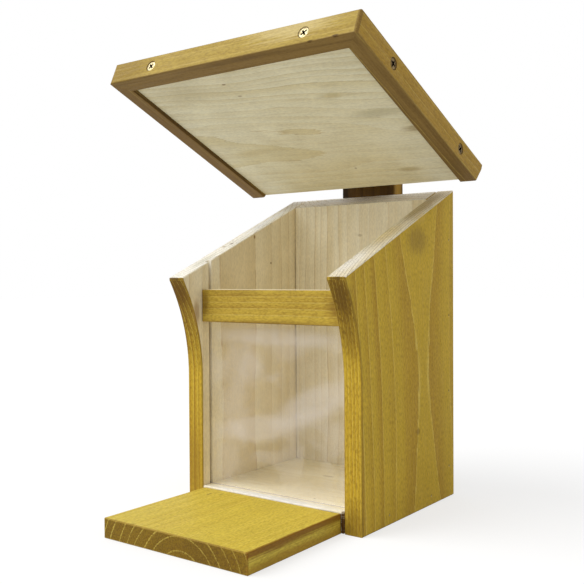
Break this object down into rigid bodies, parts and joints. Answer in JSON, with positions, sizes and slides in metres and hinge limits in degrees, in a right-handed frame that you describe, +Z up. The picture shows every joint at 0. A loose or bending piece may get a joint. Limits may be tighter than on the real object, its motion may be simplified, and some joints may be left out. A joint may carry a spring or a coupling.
{
  "type": "squirrel feeder box",
  "caption": "Wooden squirrel feeder box with a hinged framed lid, a sliding clear front window, flared side panels, a front feeding board and a rear fixing batten.",
  "frame": {"origin": "middle of the box's underside, on the floor board", "axes": "+Z up, -Y to the front where the feeding board is, +X to the viewer's right seen from the front"},
  "size_m": [0.2186, 0.256, 0.3371],
  "materials": {
    "stained_pine": "honey-olive wood stain, satin",
    "natural_pine": "bare planed pine, matt",
    "clear_sheet": "clear acrylic sheet, glossy",
    "zinc_steel": "yellow passivated zinc on steel, satin",
    "hinge_plate": "brass-plated steel, satin",
    "dowel_wood": "bare beech, matt"
  },
  "bodies": {
    "box": {"side_left": "stained_pine", "side_right": "stained_pine", "back_panel": "natural_pine", "floor_board": "natural_pine", "tray_board": "stained_pine", "front_rail": "stained_pine", "wall_batten": "stained_pine", "hinge_leaf_batten": "hinge_plate", "hinge_pin": "zinc_steel", "tray_dowel_1": "dowel_wood", "tray_dowel_2": "dowel_wood", "brad_left_1": "zinc_steel", "brad_left_2": "zinc_steel", "brad_left_3": "zinc_steel", "brad_left_4": "zinc_steel", "brad_left_5": "zinc_steel", "brad_left_6": "zinc_steel", "brad_right_1": "zinc_steel", "brad_right_2": "zinc_steel", "brad_right_3": "zinc_steel", "brad_right_4": "zinc_steel", "brad_right_5": "zinc_steel", "brad_right_6": "zinc_steel", "batten_screw_1": "zinc_steel", "batten_screw_2": "zinc_steel", "batten_screw_3": "zinc_steel", "hinge_screw_batten_1": "zinc_steel", "hinge_screw_batten_2": "zinc_steel"},
    "window": {"window_pane": "clear_sheet"},
    "lid": {"lid_panel": "natural_pine", "lid_bar_front": "stained_pine", "lid_bar_left": "stained_pine", "lid_bar_right": "stained_pine", "hinge_leaf_lid": "hinge_plate", "hinge_screw_lid_1": "zinc_steel", "hinge_screw_lid_2": "zinc_steel", "lid_screw_1": "zinc_steel", "lid_screw_2": "zinc_steel", "lid_screw_3": "zinc_steel", "lid_screw_4": "zinc_steel", "lid_screw_5": "zinc_steel", "lid_screw_6": "zinc_steel"}
  },
  "joints": [
    {"name": "lid_hinge", "type": "hinge", "parent": "box", "child": "lid", "pos_m": [0, 0.06662, 0.26279], "axis": [-1, 0, 0], "range_deg": [-46.5, 66]},
    {"name": "window_slide", "type": "slide", "parent": "box", "child": "window", "axis": [0, 0, 1], "range_m": [0, 0.024]}
  ]
}
